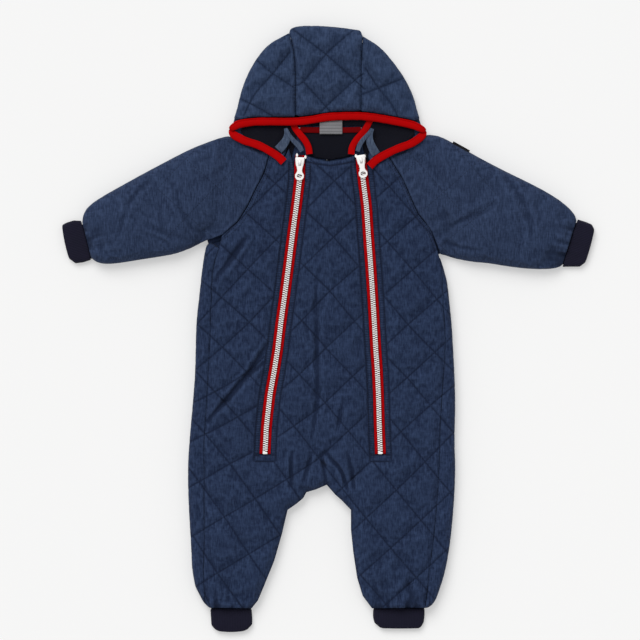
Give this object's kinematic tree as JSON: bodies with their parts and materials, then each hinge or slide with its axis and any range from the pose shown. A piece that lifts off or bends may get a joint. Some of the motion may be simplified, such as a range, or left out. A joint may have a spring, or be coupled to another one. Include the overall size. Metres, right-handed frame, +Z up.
{
  "type": "hooded padded baby snowsuit",
  "caption": "Hooded quilted baby snowsuit for outdoor wear, lying flat on its back, with front zips, raglan sleeves, knitted cuffs and a bound hood.",
  "frame": {"origin": "middle of the bounding box in plan, on the surface that the garment lies on", "axes": "+X to the wearer's left sleeve, +Y to the hood, +Z up from the surface to the front of the garment"},
  "size_m": [0.6813, 0.7768, 0.027],
  "materials": {
    "quilted_denim": "blue chambray, padded and quilted in diamonds",
    "hood_denim": "blue chambray, padded and quilted in diamonds",
    "sleeve_denim": "blue chambray, padded, not quilted",
    "rib_knit": "very dark fine rib knit",
    "red_tape": "red folded edge tape, matt",
    "zip_tape": "red woven zip tape",
    "dark_lining": "near-black soft lining",
    "light_denim": "lighter blue inner side of the chambray",
    "white_plastic": "moulded white plastic, satin",
    "label_cloth": "grey satin label cloth, blank",
    "tab_cloth": "black woven tab, blank"
  },
  "bodies": {
    "suit": {"front": "quilted_denim", "back_left": "quilted_denim", "back_right": "quilted_denim", "sleeve_left": "sleeve_denim", "sleeve_right": "sleeve_denim", "wrist_cuff_left": "rib_knit", "wrist_cuff_right": "rib_knit", "ankle_cuff_left": "rib_knit", "ankle_cuff_right": "rib_knit", "hood_left": "hood_denim", "hood_centre": "hood_denim", "hood_right": "hood_denim", "hood_lining": "dark_lining", "neck_lining": "dark_lining", "hood_binding": "red_tape", "hood_binding_left": "red_tape", "hood_binding_right": "red_tape", "neck_binding": "red_tape", "zip_facing_left": "light_denim", "zip_facing_right": "light_denim", "zip_tape_left": "zip_tape", "zip_tape_right": "zip_tape", "zip_chain_left": "white_plastic", "zip_chain_right": "white_plastic", "zip_slider_left": "white_plastic", "zip_slider_right": "white_plastic", "care_label": "label_cloth", "sleeve_tab": "tab_cloth"},
    "pull_left": {"zip_pull_left": "white_plastic"},
    "pull_right": {"zip_pull_right": "white_plastic"}
  },
  "joints": [
    {"name": "pull_left_hinge", "type": "hinge", "parent": "suit", "child": "pull_left", "pos_m": [-0.0364, 0.213, 0.0191], "axis": [-0.9997, 0.0262, 0], "range_deg": [0, 140]},
    {"name": "pull_right_hinge", "type": "hinge", "parent": "suit", "child": "pull_right", "pos_m": [0.042, 0.216, 0.0191], "axis": [-0.989, -0.1478, 0], "range_deg": [0, 140]}
  ]
}
